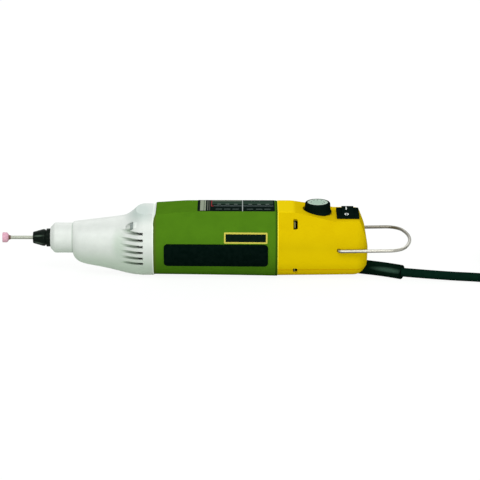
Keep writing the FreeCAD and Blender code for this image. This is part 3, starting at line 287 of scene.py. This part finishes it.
def bare_metal(name, colour, other, rough, size=0.12):
    """Metal with the fine marks of grinding or drawing, about that many millimetres apart."""
    material = mottled(finish(name, colour, rough, metal=1.0), other, patch=0.8)
    return grain(material, size, depth=0.0015)


# The finishes that the tool's pieces wear

cast_aluminium = cast_paint(
    "cast_aluminium", seen(221, 225, 219), seen(216, 220, 214), flake=seen(236, 239, 235)
)
green_plastic = moulded("green_plastic", seen(80, 126, 24), seen(76, 121, 23))
yellow_plastic = moulded("yellow_plastic", seen(221, 190, 5), seen(218, 186, 4))
black_plastic = moulded("black_plastic", seen(8, 19, 15), seen(12, 23, 19))
dark_polymer = moulded("dark_polymer", seen(40, 42, 44), seen(46, 48, 50))
white_polymer = moulded("white_polymer", seen(222, 222, 214), seen(212, 212, 204))

pad_rubber = rubber("pad_rubber", seen(4, 17, 13), seen(9, 22, 18))
relief_rubber = rubber("relief_rubber", seen(6, 24, 16), seen(9, 29, 20))
cord_jacket = rubber("cord_jacket", seen(8, 31, 22), seen(11, 36, 26))

side_film = pressed_film("side_film", seen(12, 26, 18), seen(16, 30, 22))
top_film = pressed_film("top_film", seen(14, 24, 20), seen(18, 30, 26))
inlay_disc = pressed_film("inlay_disc", seen(196, 214, 198), seen(188, 208, 190))

ground_steel = bare_metal("ground_steel", seen(156, 160, 148), seen(149, 153, 141), 0.5, size=0.4)
spring_wire = bare_metal("spring_wire", seen(172, 171, 162), seen(160, 158, 148), 0.3, size=0.4)
copper_wire = bare_metal("copper_wire", seen(176, 92, 52), seen(150, 74, 42), 0.35, size=0.35)
bare_copper = bare_metal("bare_copper", seen(206, 132, 92), seen(188, 112, 74), 0.28)
plated_brass = bare_metal("plated_brass", seen(222, 222, 214), seen(206, 206, 196), 0.2)
sheet_steel = bare_metal("sheet_steel", seen(130, 132, 134), seen(112, 114, 116), 0.38)

white_print = two_tone(
    "white_print", seen(226, 230, 225), seen(212, 217, 211), rough=0.5, patch=0.6, specular=0.1
)
dark_print = two_tone(
    "dark_print", seen(54, 70, 62), seen(70, 86, 76), rough=0.5, patch=0.5, specular=0.2
)
screw_zinc = two_tone(
    "screw_zinc", seen(150, 158, 154), seen(138, 146, 142), rough=0.6, patch=0.8, specular=0.0
)
board_green = two_tone("board_green", seen(36, 96, 56), seen(30, 84, 48), rough=0.4, patch=2.0)

black_oxide = two_tone(
    "black_oxide", seen(9, 18, 12), seen(15, 25, 19), rough=0.35, patch=1.2, specular=0.04
)
grain(black_oxide, size=0.1, depth=0.002)
pink_abrasive = two_tone(
    "pink_abrasive", seen(234, 184, 200), seen(220, 164, 184), rough=0.9, patch=0.5, specular=0.1
)
grain(pink_abrasive, size=0.22, depth=0.06)
cement = two_tone("cement", seen(112, 78, 62), seen(86, 58, 48), rough=0.8, patch=0.5)
grain(cement, size=0.2, depth=0.03)
ferrite = two_tone("ferrite", seen(52, 52, 54), seen(62, 62, 64), rough=0.6, patch=1.0)
grain(ferrite, size=0.2, depth=0.01)
carbon = two_tone("carbon", seen(44, 44, 46), seen(54, 54, 56), rough=0.7, patch=0.6)
grain(carbon, size=0.15, depth=0.01)


# Ways to lay a second colour on part of a finish. Spans and places are in millimetres


def paint_field(material, colour, **spans):
    """A colour with hard edges inside a box. Each span is an axis, x, y or z, with its two ends."""
    nodes, links = material.node_tree.nodes, material.node_tree.links
    where = nodes.new("ShaderNodeTexCoord")
    split = nodes.new("ShaderNodeSeparateXYZ")
    links.new(where.outputs["Object"], split.inputs["Vector"])
    mask = None
    for axis, (low, high) in spans.items():
        inside = nodes.new("ShaderNodeMath")
        inside.operation = "COMPARE"
        inside.inputs[1].default_value = (low + high) / 2 * MM
        inside.inputs[2].default_value = (high - low) / 2 * MM
        links.new(split.outputs[axis.upper()], inside.inputs[0])
        if mask is None:
            mask = inside.outputs["Value"]
            continue
        both = nodes.new("ShaderNodeMath")
        both.operation = "MULTIPLY"
        links.new(mask, both.inputs[0])
        links.new(inside.outputs["Value"], both.inputs[1])
        mask = both.outputs["Value"]
    over(material, colour, mask)


def paint_spot(material, colour, place, reach, turn=(0, 0, 0)):
    """A soft-edged colour inside an ellipsoid, turned by that many degrees about its own middle."""
    nodes, links = material.node_tree.nodes, material.node_tree.links
    where = nodes.new("ShaderNodeTexCoord")
    inside = nodes.new("ShaderNodeMapping")
    inside.vector_type = "TEXTURE"
    inside.inputs["Location"].default_value = Vector(place) * MM
    inside.inputs["Rotation"].default_value = [math.radians(v) for v in turn]
    inside.inputs["Scale"].default_value = Vector(reach) * MM
    far = nodes.new("ShaderNodeVectorMath")
    far.operation = "LENGTH"
    links.new(where.outputs["Object"], inside.inputs["Vector"])
    links.new(inside.outputs["Vector"], far.inputs[0])
    over(material, colour, between(material, far.outputs["Value"], low=1.0, high=0.35))


def grade(material, colour, axis, start, end):
    """Turns to another colour from one place along an axis to another."""
    over(material, colour, between(material, along(material, axis), start * MM, end * MM))


# Painted light and shade on the mouldings, placed by where the object's edges, hollows and thin
# walls are

COLLAR_GROOVE_X = (5.2, 5.9)
HEAD_REAR_EDGE_X = (59.0, 59.7)
HOUSING_FRONT_EDGE_X = (59.6, 61.4)
HOUSING_REAR_EDGE_X = (139.9, 141.3)
CAP_FRONT_EDGE_X = (141.3, 141.9)
# Middles of the painted shade on the head: the near screw pocket, the flare's foot and the flare's
# top
SCREW_POCKET = (44.0, -15.4, 13.4)
FLARE_FOOT = (37.0, -19.0, -0.4)
FLARE_TOP = (50.0, -4.0, 21.0)
VENT_COUNT = 6
VENT_PITCH = 4.13
VENT_MIDDLE_Z = -0.85
# Painted shade on the floors of the vents: its middle along the head and its reach
VENT_SHADE_X = 45.8
VENT_SHADE_REACH = (7.6, 200.0, 1.45)  # through both sides of the head
# Painted shade on the latch tongues inside the cap, and a painted highlight streak across them
TONGUES_X = (141.3, 163.5)
TONGUE_STREAK_X = (152.3, 152.9)
DIAL_X = 167.9
INLAY_TOP_Z = 25.2
RELIEF_SHINE = (215.0, -13.4, -17.4)
RELIEF_TURN = -23.0
NUT_FLUTES = 6
NUT_RIDGE_X = -17.0
NUT_RIDGE_R = 4.8
NUT_RIDGE_REACH = (5.0, 0.8, 2.2)


def grade_mouldings():
    """Painted light and shade: the cap is painted a little lighter towards the table and paler on
    top, and the head is painted greener and darker below.
    """
    grade(yellow_plastic, seen(248, 212, 4), "Z", start=1, end=-10)
    grade(yellow_plastic, seen(238, 208, 14), "Z", start=21.9, end=22.3)
    grade(cast_aluminium, seen(204, 216, 201), "Z", start=-3, end=-14)


def edge_light():
    """Rounded edges of the mouldings at their joints, lighter or darker than the faces: painted
    highlights on the head's rear edge and the cap's front edge, painted shade on the housing's
    front and rear edges, and painted shade in the groove between the collar and the cone.
    """
    paint_field(cast_aluminium, seen(190, 200, 190), x=COLLAR_GROOVE_X)
    paint_field(cast_aluminium, seen(246, 252, 240), x=HEAD_REAR_EDGE_X)
    paint_field(green_plastic, seen(84, 108, 34), x=HOUSING_FRONT_EDGE_X)
    paint_field(green_plastic, seen(56, 92, 18), x=HOUSING_REAR_EDGE_X)
    paint_field(yellow_plastic, seen(246, 228, 60), x=CAP_FRONT_EDGE_X)


def shade_head():
    """Painted shade in the head's screw pocket, at the foot and over the top of its flare, and on
    the floors of its vents.
    """
    paint_spot(cast_aluminium, seen(146, 158, 151), SCREW_POCKET, reach=(4.6, 4.4, 4.4))
    paint_spot(cast_aluminium, seen(201, 212, 199), FLARE_FOOT, reach=(6.0, 14, 14))
    paint_spot(cast_aluminium, seen(194, 206, 199), FLARE_TOP, reach=(15, 26, 9))
    for i in range(VENT_COUNT):
        z = VENT_MIDDLE_Z + (i - (VENT_COUNT - 1) / 2) * VENT_PITCH
        paint_spot(cast_aluminium, seen(156, 170, 154), (VENT_SHADE_X, 0, z), reach=VENT_SHADE_REACH)


def shade_rear():
    """Painted shade on the latch tongues behind the cap's windows with a painted highlight streak
    across them, the dial's inlay darker in its middle than at its rim, a painted dull shine on the
    bend relief, and painted shade on the bail, which is darker on its far leg and on its lower
    side."""
    paint_field(green_plastic, seen(34, 30, 8), x=TONGUES_X)
    paint_field(green_plastic, seen(150, 148, 96), x=TONGUE_STREAK_X)
    paint_spot(inlay_disc, seen(170, 194, 176), (DIAL_X, 0, INLAY_TOP_Z), reach=(7.6, 7.6, 4))
    paint_spot(
        relief_rubber, seen(52, 78, 66), RELIEF_SHINE, reach=(14, 5, 1.9), turn=(0, 0, RELIEF_TURN)
    )
    grade(spring_wire, seen(112, 109, 99), "Y", start=-14, end=6)
    grade(spring_wire, seen(70, 67, 60), "Z", start=-0.2, end=-1.2)


def paint_nut_ridge_highlights():
    """Painted highlights along the ridges between the nut's flutes, paler than its black finish."""
    for i in range(NUT_FLUTES):
        angle = 360 * i / NUT_FLUTES
        outward = Matrix.Rotation(math.radians(angle), 3, "X") @ Vector((0, 0, NUT_RIDGE_R))
        place = Vector((NUT_RIDGE_X, 0, 0)) + outward
        paint_spot(black_oxide, seen(70, 84, 72), place, reach=NUT_RIDGE_REACH, turn=(angle, 0, 0))


# The two plates, printed with bare frames, fields and rules

SIDE_PLATE_X = (106.1, 134.6)
SIDE_PLATE_Z = (3.9, 10.8)
SIDE_FRAME = 1.0

LABEL_X = 88.5
LABEL_END = 50.0
RULE_Y = (-1.2, -0.5)
BAND_Y = (-11.4, 11.8)
LINE_Y = (-10.7, 11.2)
DIVIDER_X = (29.4, 30.0)
DASH_STARTS = (12.0, 17.5, 23.0, 32.5, 38.5, 44.0)
DASH_LENGTH = 4.2
DASH_Y = (-8.6, -7.4)
SHORT_DASH_INSET = (1.0, 3.4)
SHORT_DASH_Y = (2.4, 3.6)
LABEL_RED = seen(142, 54, 56)
LABEL_FIELDS = (
    (seen(46, 64, 53), (9.0, LABEL_END), (2.6, 11.0)),  # panel on the far half
    (seen(120, 132, 112), (9.0, 29.0), (9.8, 11.0)),  # its heading
    (seen(150, 158, 138), (1.7, 5.4), BAND_Y),  # pale band at the front end
    (seen(70, 84, 66), (4.1, 4.5), BAND_Y),  # line in the band
    (seen(104, 108, 96), (6.4, 7.0), LINE_Y),  # two lines beside the band
    (seen(84, 84, 78), (7.7, 8.2), LINE_Y),
    (LABEL_RED, (8.9, 9.5), (-2.1, 11.2)),  # red bracket and its foot
    (LABEL_RED, (8.9, 10.6), (-2.1, -0.6)),
    (seen(122, 136, 134), (10.6, LABEL_END), RULE_Y),  # rule along the middle
)


def print_side_plate():
    """A plain frame round a bare dark field."""
    x0, x1 = SIDE_PLATE_X
    z0, z1 = SIDE_PLATE_Z
    frame_colour = seen(206, 196, 84)
    paint_field(side_film, frame_colour, x=(x0, x0 + SIDE_FRAME))
    paint_field(side_film, frame_colour, x=(x1 - SIDE_FRAME, x1))
    paint_field(side_film, frame_colour, z=(z0 - 1, z0 + SIDE_FRAME))
    paint_field(side_film, frame_colour, z=(z1 - SIDE_FRAME, z1 + 1))


def print_label():
    """Bare fields, rules and dashes, as on a data plate with nothing filled in. X is measured from
    the plate's front end and Y from its middle."""

    def across(start, end):
        return (LABEL_X + start, LABEL_X + end)

    for colour, span, y in LABEL_FIELDS:
        paint_field(top_film, colour, x=across(*span), y=y)
    for x in DASH_STARTS:
        short_dash = across(x + SHORT_DASH_INSET[0], x + SHORT_DASH_INSET[1])
        paint_field(top_film, seen(84, 98, 92), x=across(x, x + DASH_LENGTH), y=DASH_Y)
        paint_field(top_film, seen(116, 128, 120), x=short_dash, y=SHORT_DASH_Y)
    paint_field(top_film, seen(164, 172, 166), x=across(*DIVIDER_X))


grade_mouldings()
edge_light()
shade_head()
shade_rear()
paint_nut_ridge_highlights()
print_side_plate()
print_label()


# Which nodes wear which finish

worn_by = {
    cast_aluminium: ["head_casting", "bearing_spacer"],
    green_plastic: ["motor_housing"],
    yellow_plastic: ["rear_cap"],
    pad_rubber: ["grip_pad_near", "grip_pad_far"],
    side_film: ["side_plate"],
    top_film: ["data_label"],
    black_oxide: ["collet_nut"],
    screw_zinc: ["head_screws", "clamp_screws"],
    ground_steel: ["collet", "spindle", "stone_shank", "motor_shaft", "brush_springs"],
    pink_abrasive: ["grinding_stone"],
    cement: ["stone_cement"],
    dark_polymer: [
        "shaft_coupling",
        "brush_holder",
        "speed_control",
        "board_parts",
        "cord_clamp",
    ],
    white_polymer: ["fan", "dial_shaft"],
    sheet_steel: ["armature_core", "motor_can", "motor_front_plate"],
    ferrite: ["field_magnets"],
    copper_wire: ["armature_winding"],
    bare_copper: ["commutator"],
    carbon: ["carbon_brushes"],
    black_plastic: ["speed_dial", "switch_body", "switch_rocker", "coil_tie", "plug_body"],
    inlay_disc: ["dial_inlay"],
    board_green: ["control_board"],
    relief_rubber: ["strain_relief"],
    cord_jacket: ["inner_lead", "cord_lead", "cord_coil"],
    spring_wire: ["wire_bail"],
    plated_brass: ["plug_pins"],
}
for bearing in ("front", "rear", "motor"):
    worn_by[ground_steel] += [f"{bearing}_bearing_{part}" for part in ("outer", "inner", "balls")]


def dress(obj, material):
    obj.data.materials.clear()
    obj.data.materials.append(material)


for material, names in worn_by.items():
    for name in names:
        dress(node[name], material)
dress(cord, cord_jacket)


# Marks: figures and ticks on the dial, I and O on the rocker

MARK_THICKNESS = 0.04
MERGE_DISTANCE = 1e-4
INLAY_R = 6.7
FIGURES = 9
FIGURE_HEIGHT = 2.3
FIGURE_RING_R = 4.5
FIRST_FIGURE_ANGLE = 225
LAST_FIGURE_ANGLE = -45
TICK_LENGTH = 0.7
TICK_WIDTH = 0.3
ROCKER_MARK_X = 187.0
ON_MARK_Y = 4.3
ON_MARK_WIDTH = 0.75
ON_MARK_LENGTH = 3.8
OFF_MARK_Y = -4.6
OFF_MARK_R = 1.45
OFF_MARK_SIDES = 32
OFF_MARK_FLAT = (1.0, 1.35, 0)
OFF_MARK_BORE = (0.5, 0.62, 1)
ABOVE_ALL_Z = 100


def flat_bar(bm, length, width, x=0.0, turn=0.0):
    """A thin flat bar out along X, then turned about the Z axis."""
    made = bmesh.ops.create_cube(bm, size=1)["verts"]
    bmesh.ops.scale(bm, verts=made, vec=(length, width, MARK_THICKNESS))
    bmesh.ops.translate(bm, verts=made, vec=(x, 0, 0))
    bmesh.ops.rotate(bm, verts=made, cent=(0, 0, 0), matrix=Matrix.Rotation(turn, 3, "Z"))


def flat_ring(bm):
    """The off mark: a stack of circles, bridged into a ring, then drawn flat and bored.

    An extrude isn't used, because the order of its faces changes from run to run.
    """
    stack = []
    for level in range(4):
        circle = bmesh.ops.create_circle(bm, segments=OFF_MARK_SIDES, radius=OFF_MARK_R)["verts"]
        bmesh.ops.translate(bm, verts=circle, vec=(0, 0, level))
        stack.append(circle)
    rims = [bm.edges[i * OFF_MARK_SIDES:(i + 1) * OFF_MARK_SIDES] for i in range(4)]
    for rim, following in zip(rims, rims[1:] + rims[:1]):
        bmesh.ops.bridge_loops(bm, edges=rim + following)
    _, bore_low, bore_high, outer_high = stack
    bmesh.ops.scale(bm, verts=bm.verts, vec=OFF_MARK_FLAT)
    bmesh.ops.scale(bm, verts=bore_low + bore_high, vec=OFF_MARK_BORE)
    bmesh.ops.translate(bm, verts=bore_high + outer_high, vec=(0, 0, MARK_THICKNESS / 2))


def figure(bm, text, x, y):
    """A figure of flat type, centred on that place."""
    type_line = bpy.data.curves.new("figure", "FONT")
    type_line.body = text
    type_line.size = FIGURE_HEIGHT
    type_line.align_x = "CENTER"
    type_line.align_y = "CENTER"
    type_line.extrude = MARK_THICKNESS / 2
    type_line.resolution_u = 3
    holder = bpy.data.objects.new("figure", type_line)
    mesh = bpy.data.meshes.new_from_object(holder)
    mesh.transform(Matrix.Translation((x, y, 0)))
    bm.from_mesh(mesh)
    bpy.data.objects.remove(holder)
    bpy.data.curves.remove(type_line)
    bpy.data.meshes.remove(mesh)


def mark(name, bm, place, body, material):
    """Finishes a mark, puts it at its place and lets it move with a body."""
    bmesh.ops.remove_doubles(bm, verts=bm.verts, dist=MERGE_DISTANCE)
    bmesh.ops.recalc_face_normals(bm, faces=bm.faces)
    bmesh.ops.transform(bm, verts=bm.verts, matrix=Matrix.Scale(MM, 4) @ place)
    mesh = bpy.data.meshes.new(name)
    bm.to_mesh(mesh)
    bm.free()
    obj = bpy.data.objects.new(name, mesh)
    bpy.context.scene.collection.objects.link(obj)
    dress(obj, material)
    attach(obj, body)


def dial_marks():
    """Figures 1 to 9 over three quarters of a turn, each with a tick at the inlay's rim."""
    bm = bmesh.new()
    sweep = LAST_FIGURE_ANGLE - FIRST_FIGURE_ANGLE
    for i in range(FIGURES):
        angle = math.radians(FIRST_FIGURE_ANGLE + sweep * i / (FIGURES - 1))
        x, y = FIGURE_RING_R * math.cos(angle), FIGURE_RING_R * math.sin(angle)
        figure(bm, str(i + 1), x, y)
        flat_bar(bm, TICK_LENGTH, TICK_WIDTH, x=INLAY_R - TICK_LENGTH, turn=angle)
    place = Matrix.Translation((DIAL_X, 0, INLAY_TOP_Z + MARK_THICKNESS / 2))
    mark("dial_figures", bm, place, "speed_dial", dark_print)


def on_rocker(y):
    """Place and lean of the rocker's top face at a mark, as a matrix in millimetres."""
    above = Vector((ROCKER_MARK_X, y, ABOVE_ALL_Z)) * MM
    _, place, normal, _ = node["switch_rocker"].ray_cast(above, Vector((0, 0, -1)))
    lean = Vector((0, 0, 1)).rotation_difference(normal).to_matrix().to_4x4()
    return Matrix.Translation(place / MM + normal * (MARK_THICKNESS / 2)) @ lean


def rocker_marks():
    """A bar on the far half and a ring on the near half."""
    bm = bmesh.new()
    flat_bar(bm, ON_MARK_WIDTH, ON_MARK_LENGTH)
    mark("on_mark", bm, on_rocker(ON_MARK_Y), "switch_rocker", white_print)
    bm = bmesh.new()
    flat_ring(bm)
    mark("off_mark", bm, on_rocker(OFF_MARK_Y), "switch_rocker", white_print)


dial_marks()
rocker_marks()


# Studio: white all round and a pale floor, with large soft lights above, low in front and behind

ROOM_COLOUR = (0.95, 0.98, 1.0, 1)
ROOM_LIGHT = 0.5
FLOOR_SIZE = 6
FLOOR_Z = (FOOT_Z - 0.02) * MM
PAPER_COLOUR = (0.5, 0.56, 0.5, 1)
PAPER_GLOW = 1.15
PAPER_GLOW_SHARE = 0.8
LAMPS = (
    ("key", (0.0, -0.85, 1.3), (0.1, 0, 0), (1.3, 0.7), 10.5),
    ("low", (0.1, -1.3, 0.12), (0.1, 0, -0.01), (1.4, 0.3), 5.0),
    ("behind", (0.2, 1.2, 0.9), (0.1, 0, 0), (1.4, 0.6), 6.0),
)


def open_to_white(nodes, links):
    """1 for rays from the camera and for rays off or through a shiny surface."""
    path = nodes.new("ShaderNodeLightPath")
    largest = path.outputs["Is Camera Ray"]
    for kind in ("Is Glossy Ray", "Is Transmission Ray"):
        pick = nodes.new("ShaderNodeMath")
        pick.operation = "MAXIMUM"
        links.new(largest, pick.inputs[0])
        links.new(path.outputs[kind], pick.inputs[1])
        largest = pick.outputs["Value"]
    return largest


def set_studio():
    world = bpy.data.worlds.new("studio")
    world.use_nodes = True
    bpy.context.scene.world = world
    nodes, links = world.node_tree.nodes, world.node_tree.links
    nodes.clear()
    out = nodes.new("ShaderNodeOutputWorld")
    mix = nodes.new("ShaderNodeMixShader")
    room = nodes.new("ShaderNodeBackground")
    room.inputs["Color"].default_value = ROOM_COLOUR
    room.inputs["Strength"].default_value = ROOM_LIGHT
    white = nodes.new("ShaderNodeBackground")
    white.inputs["Color"].default_value = (1, 1, 1, 1)
    white.inputs["Strength"].default_value = 1.0
    links.new(open_to_white(nodes, links), mix.inputs["Fac"])
    links.new(room.outputs["Background"], mix.inputs[1])
    links.new(white.outputs["Background"], mix.inputs[2])
    links.new(mix.outputs["Shader"], out.inputs["Surface"])


def lamp(name, place, aim, size, power):
    data = bpy.data.lights.new(name, "AREA")
    data.shape = "RECTANGLE"
    data.size, data.size_y = size
    data.energy = power
    light = bpy.data.objects.new(name, data)
    bpy.context.scene.collection.objects.link(light)
    light.location = place
    light.rotation_mode = "QUATERNION"
    light.rotation_quaternion = (Vector(aim) - Vector(place)).to_track_quat("-Z", "Y")


def white_paper():
    """Pale matt paper that the camera sees as nearly white, with the tool's shadow on it."""
    material = bpy.data.materials.new("white_paper")
    material.use_nodes = True
    nodes, links = material.node_tree.nodes, material.node_tree.links
    nodes.clear()
    out = nodes.new("ShaderNodeOutputMaterial")
    matt = nodes.new("ShaderNodeBsdfDiffuse")
    matt.inputs["Color"].default_value = PAPER_COLOUR
    glow = nodes.new("ShaderNodeEmission")
    glow.inputs["Strength"].default_value = PAPER_GLOW
    lit = nodes.new("ShaderNodeMixShader")
    lit.inputs["Fac"].default_value = PAPER_GLOW_SHARE
    shown = nodes.new("ShaderNodeMixShader")
    links.new(matt.outputs["BSDF"], lit.inputs[1])
    links.new(glow.outputs["Emission"], lit.inputs[2])
    links.new(open_to_white(nodes, links), shown.inputs["Fac"])
    links.new(matt.outputs["BSDF"], shown.inputs[1])
    links.new(lit.outputs["Shader"], shown.inputs[2])
    links.new(shown.outputs["Shader"], out.inputs["Surface"])
    return material


def lay_floor():
    mesh = bpy.data.meshes.new("floor")
    bm = bmesh.new()
    bmesh.ops.create_grid(bm, x_segments=1, y_segments=1, size=FLOOR_SIZE)
    bmesh.ops.translate(bm, verts=bm.verts, vec=(0, 0, FLOOR_Z))
    bm.to_mesh(mesh)
    bm.free()
    floor = bpy.data.objects.new("floor", mesh)
    bpy.context.scene.collection.objects.link(floor)
    dress(floor, white_paper())


set_studio()
lay_floor()
for settings in LAMPS:
    lamp(*settings)

bpy.context.scene.view_settings.view_transform = "Standard"

bpy.context.view_layer.update()
